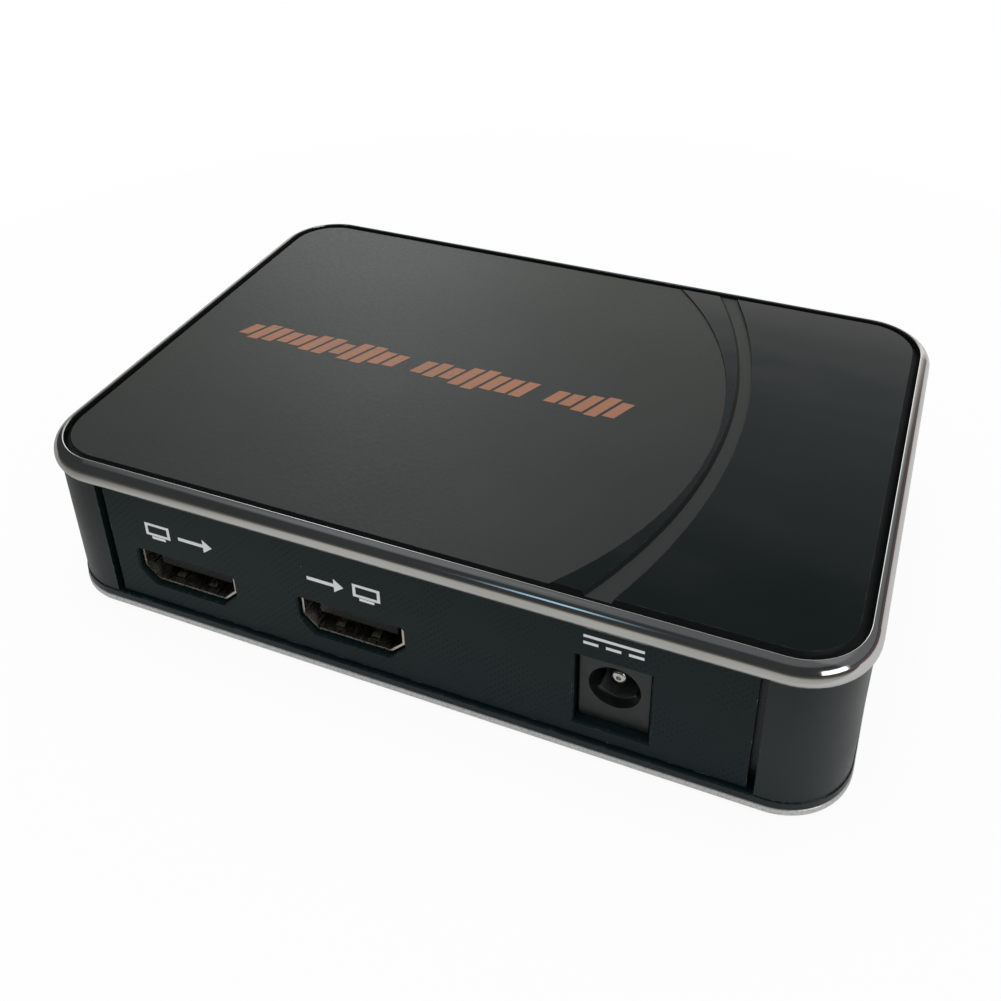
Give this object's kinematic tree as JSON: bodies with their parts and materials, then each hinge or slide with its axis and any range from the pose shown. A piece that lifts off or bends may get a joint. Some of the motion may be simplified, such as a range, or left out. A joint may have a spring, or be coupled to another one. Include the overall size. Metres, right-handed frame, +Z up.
{
  "type": "video capture box",
  "caption": "Flat black video capture box with bright trim; picture sockets and power jack on one long side; stick socket, microphone jack, lamp and push button on the other.",
  "frame": {"origin": "middle of the box on the surface that its rubber feet stand on", "axes": "+X along the length, +Y away from the side with the picture sockets and the power jack, +Z up"},
  "size_m": [0.11, 0.075, 0.025],
  "materials": {
    "board_green": "solder mask",
    "bright_trim": "polished chrome plate",
    "button_black": "moulded",
    "can_metal": "drawn can",
    "case_black": "satin moulded plastic with a fine grain",
    "ceramic_tan": "fired ceramic",
    "chip_black": "moulded epoxy",
    "clear_pipe": "clear moulded",
    "coil_grey": "ferrite",
    "contact_gold": "gold flash",
    "cover_gloss": "matte leather-grained disc and glossy right end",
    "foot_rubber": "matte rubber",
    "insulator_black": "moulded",
    "insulator_white": "moulded",
    "jack_black": "moulded, low gloss",
    "lamp_white": "clear lens over phosphor",
    "pad_grey": "soft silicone",
    "panel_black": "printed satin film with a faint dotted weave",
    "pin_nickel": "nickel plate",
    "print_copper": "worn copper-coloured ink of the marks on the cover",
    "print_white": "white ink of the signs on the panels",
    "screw_steel": "zinc plated",
    "sink_aluminium": "extruded",
    "socket_steel": "nickel plated sheet"
  },
  "bodies": {
    "case": {"board_screws": "screw_steel", "bottom_cover": "case_black", "bottom_trim_band": "bright_trim", "capacitor_bases": "chip_black", "capture_chip": "chip_black", "case_screws": "screw_steel", "ceramic_capacitors": "ceramic_tan", "clock_crystals": "can_metal", "filter_capacitors": "can_metal", "flash_chip": "chip_black", "front_panel": "panel_black", "heat_sink": "sink_aluminium", "light_pipe": "clear_pipe", "main_board": "board_green", "main_housing": "case_black", "memory_chips": "chip_black", "microphone_jack_body": "jack_black", "microphone_jack_contacts": "pin_nickel", "power_coils": "coil_grey", "power_jack_centre_pin": "pin_nickel", "power_jack_housing": "jack_black", "power_jack_side_contact": "pin_nickel", "rear_panel": "panel_black", "record_switch_body": "chip_black", "rubber_feet": "foot_rubber", "status_lamp": "lamp_white", "stick_socket_contacts": "contact_gold", "stick_socket_insulator": "insulator_white", "stick_socket_shell": "socket_steel", "thermal_pad": "pad_grey", "top_cover": "cover_gloss", "top_trim_ring": "bright_trim", "video_input_contacts": "contact_gold", "video_input_insulator": "insulator_black", "video_input_shell": "socket_steel", "video_output_contacts": "contact_gold", "video_output_insulator": "insulator_black", "video_output_shell": "socket_steel", "video_receiver_chip": "chip_black", "video_transmitter_chip": "chip_black", "voltage_regulators": "chip_black"},
    "button": {"record_button": "button_black", "record_switch_plunger": "insulator_white"}
  },
  "joints": [
    {"name": "record_button_press", "type": "slide", "parent": "case", "child": "button", "axis": [0, -1, 0], "range_m": [0, 0.0004], "stiffness_N_per_m": 600, "springref_m": -0.001}
  ]
}
